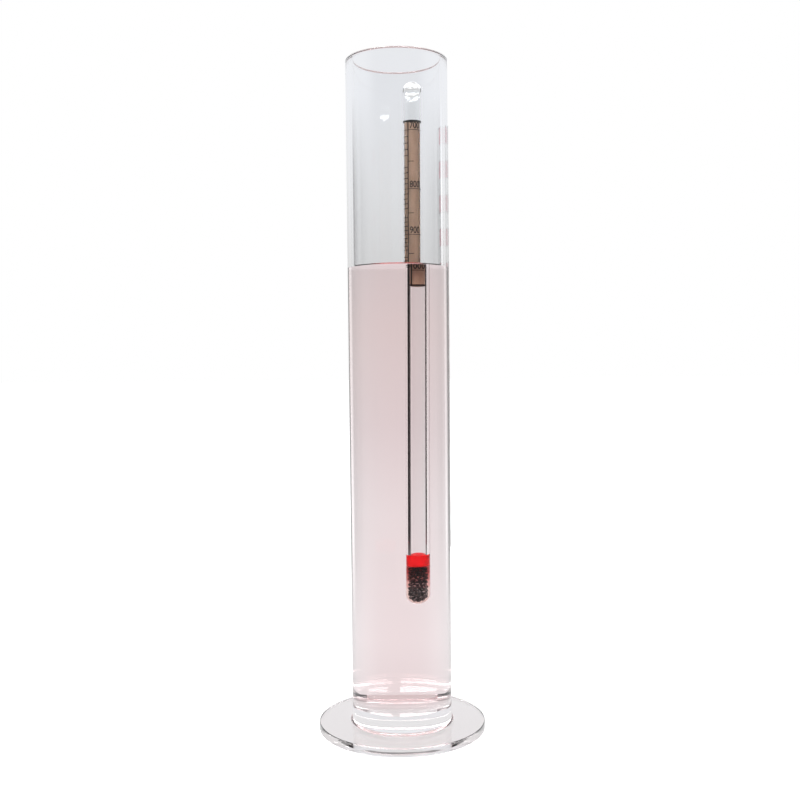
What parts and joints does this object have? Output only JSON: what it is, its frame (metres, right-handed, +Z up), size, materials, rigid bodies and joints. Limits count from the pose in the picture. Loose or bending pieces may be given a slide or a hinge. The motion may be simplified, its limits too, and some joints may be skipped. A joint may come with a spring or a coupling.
{
  "type": "hydrometer",
  "caption": "Tall clear jar on a round base, filled with pale pink liquid, in which a weighted tube float with a rolled paper density scale stands upright and can bob or lift out.",
  "frame": {"origin": "centre of the base plate's underside, at the resting surface", "axes": "+Z up along the jar, -Y towards the front from which the float's scale is read, +X to that reader's right, where the jar's film scale is"},
  "size_m": [0.1, 0.1, 0.3981],
  "materials": {
    "base_acrylic": "polished",
    "tube_acrylic": "polished",
    "floor_acrylic": "polished",
    "clear_cement": "gloss",
    "strip_film": "gloss",
    "pink_liquid": "polished",
    "float_plastic": "polished",
    "stopper_plastic": "polished",
    "scale_paper": "matte",
    "sealing_wax": "satin",
    "lead": "satin"
  },
  "bodies": {
    "jar": {"base_plate": "base_acrylic", "jar_tube": "tube_acrylic", "jar_floor": "floor_acrylic", "foot_cement": "clear_cement", "jar_scale_strip": "strip_film", "dyed_water": "pink_liquid"},
    "float": {"float_tube": "float_plastic", "float_stopper": "stopper_plastic", "scale_paper": "scale_paper", "wax_plug": "sealing_wax", "lead_shot": "lead"}
  },
  "joints": [
    {"name": "float_rise", "type": "slide", "parent": "jar", "child": "float", "axis": [0, 0, 1], "range_m": [-0.061, 0.33], "stiffness_N_per_m": 0.932, "springref_m": 0.1364, "deforming": ["dyed_water"]}
  ]
}
